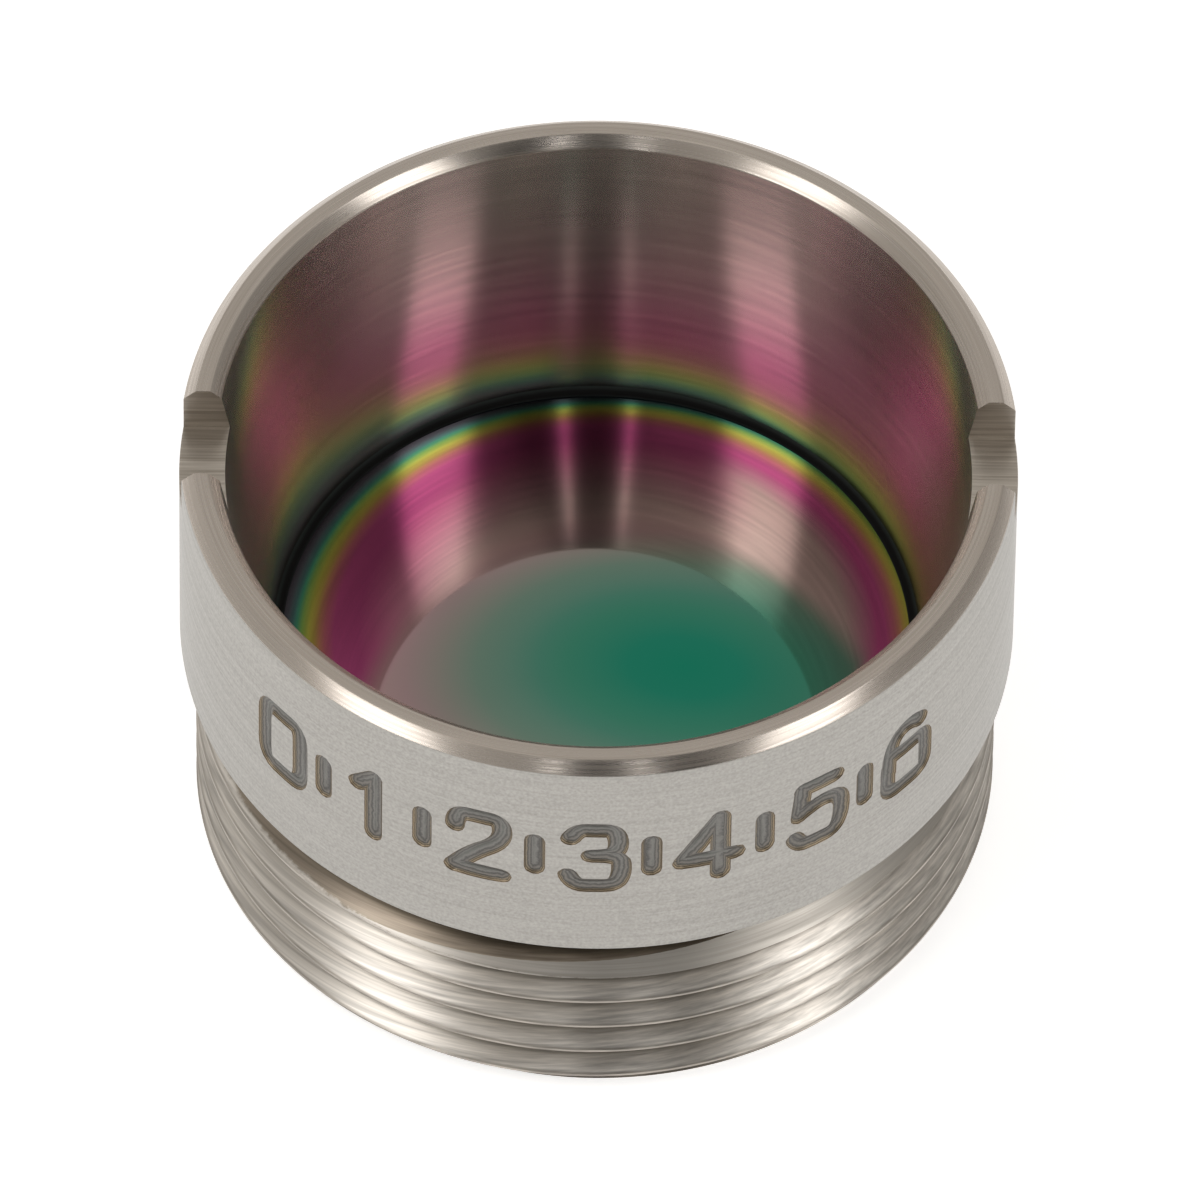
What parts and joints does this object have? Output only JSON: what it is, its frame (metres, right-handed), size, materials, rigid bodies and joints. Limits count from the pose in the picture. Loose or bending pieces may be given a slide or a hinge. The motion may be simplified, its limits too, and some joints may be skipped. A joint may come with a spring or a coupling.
{
  "type": "mounted aspheric lens",
  "caption": "Small coated infrared aspheric lens bonded in a turned steel cell with a fine-threaded end and spanner slots in the rim.",
  "frame": {"origin": "on the optical axis, in the plane of the threaded end face", "axes": "+Z along the optical axis from the threaded end to the open rim, X through the two spanner slots"},
  "size_m": [0.0104, 0.0104, 0.0068],
  "materials": {
    "cell_steel": "turned stainless steel, satin outside and bright chamfers",
    "coated_lens": "polished, opaque infrared glass with a green and magenta antireflection coating",
    "adhesive": "dark cured adhesive"
  },
  "bodies": {
    "root": {"lens_cell": "cell_steel", "aspheric_lens": "coated_lens", "adhesive_bead": "adhesive"}
  },
  "joints": []
}
